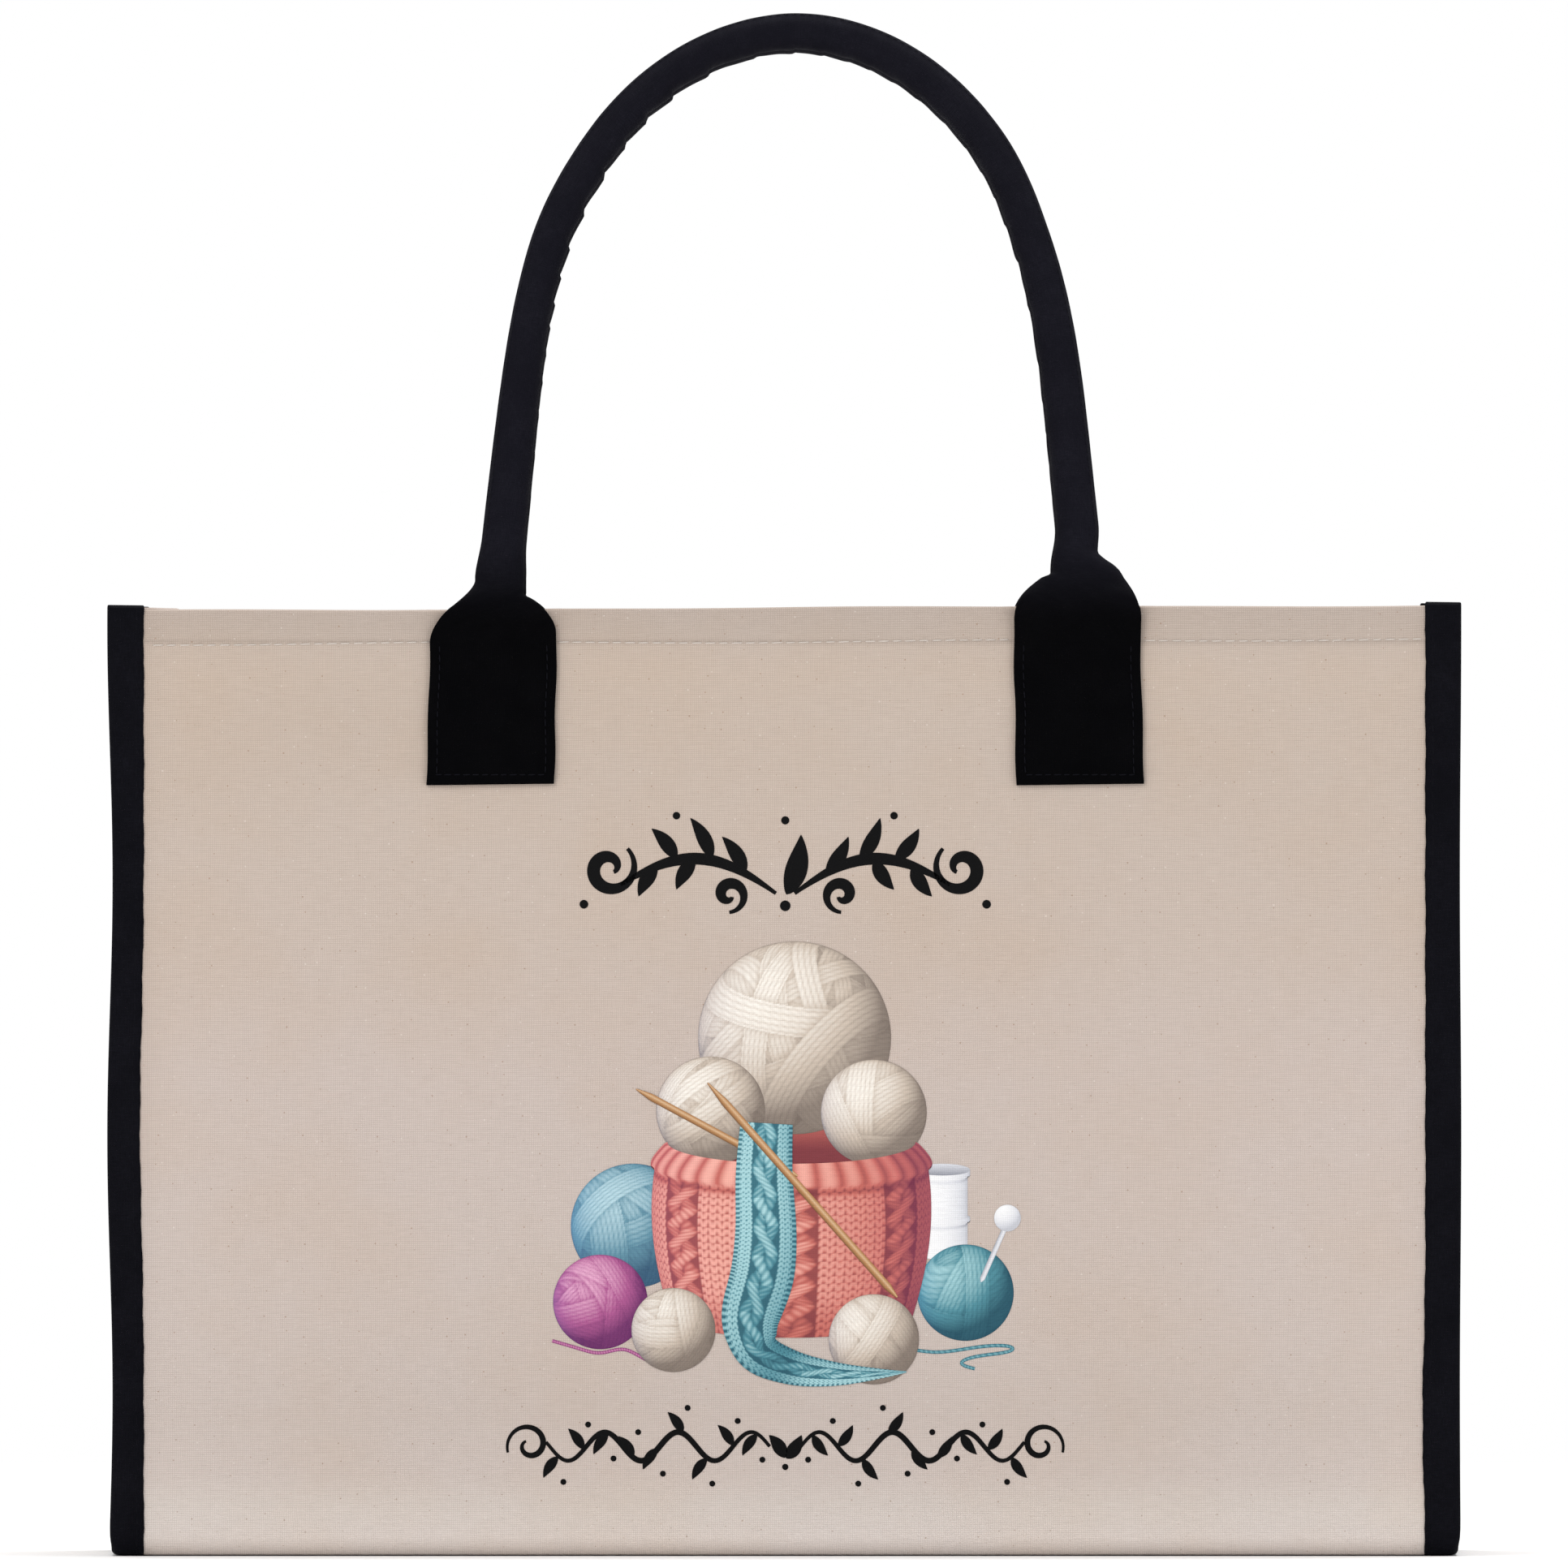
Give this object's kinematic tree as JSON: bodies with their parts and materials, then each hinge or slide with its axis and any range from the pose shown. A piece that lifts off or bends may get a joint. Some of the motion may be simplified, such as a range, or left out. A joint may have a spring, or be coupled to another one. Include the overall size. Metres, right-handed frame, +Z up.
{
  "type": "knitting bag",
  "caption": "Boxy open-topped canvas bag for yarn and needles, with black bound side edges and padded rope handles on stitched tabs.",
  "frame": {"origin": "on the floor under the middle of the bag", "axes": "+Z up, the bag's front faces -Y, +X to the right as seen from the front"},
  "size_m": [0.435, 0.1948, 0.4964],
  "materials": {
    "canvas": "plain-woven natural cotton canvas, matt",
    "black_cloth": "close-woven black cotton, soft sheen",
    "binding_tape": "black cotton tape, matt",
    "rope": "twisted cotton",
    "base_board": "matt board"
  },
  "bodies": {
    "bag": {"body_panel": "canvas", "base_board": "base_board", "inner_pocket": "canvas", "left_gusset": "canvas", "right_gusset": "canvas", "left_edge_binding": "binding_tape", "right_edge_binding": "binding_tape", "front_left_tab": "black_cloth", "front_left_backing": "black_cloth", "front_right_tab": "black_cloth", "front_right_backing": "black_cloth", "back_left_tab": "black_cloth", "back_left_backing": "black_cloth", "back_right_tab": "black_cloth", "back_right_backing": "black_cloth"},
    "front_handle": {"front_handle_sleeve": "black_cloth", "front_handle_core": "rope"},
    "back_handle": {"back_handle_sleeve": "black_cloth", "back_handle_core": "rope"}
  },
  "joints": [
    {"name": "front_handle_swing", "type": "hinge", "parent": "bag", "child": "front_handle", "pos_m": [0, -0.0956, 0.311], "axis": [1, 0, 0], "range_deg": [-15, 176]},
    {"name": "back_handle_swing", "type": "hinge", "parent": "bag", "child": "back_handle", "pos_m": [0, 0.0956, 0.311], "axis": [-1, 0, 0], "range_deg": [-15, 176]}
  ]
}
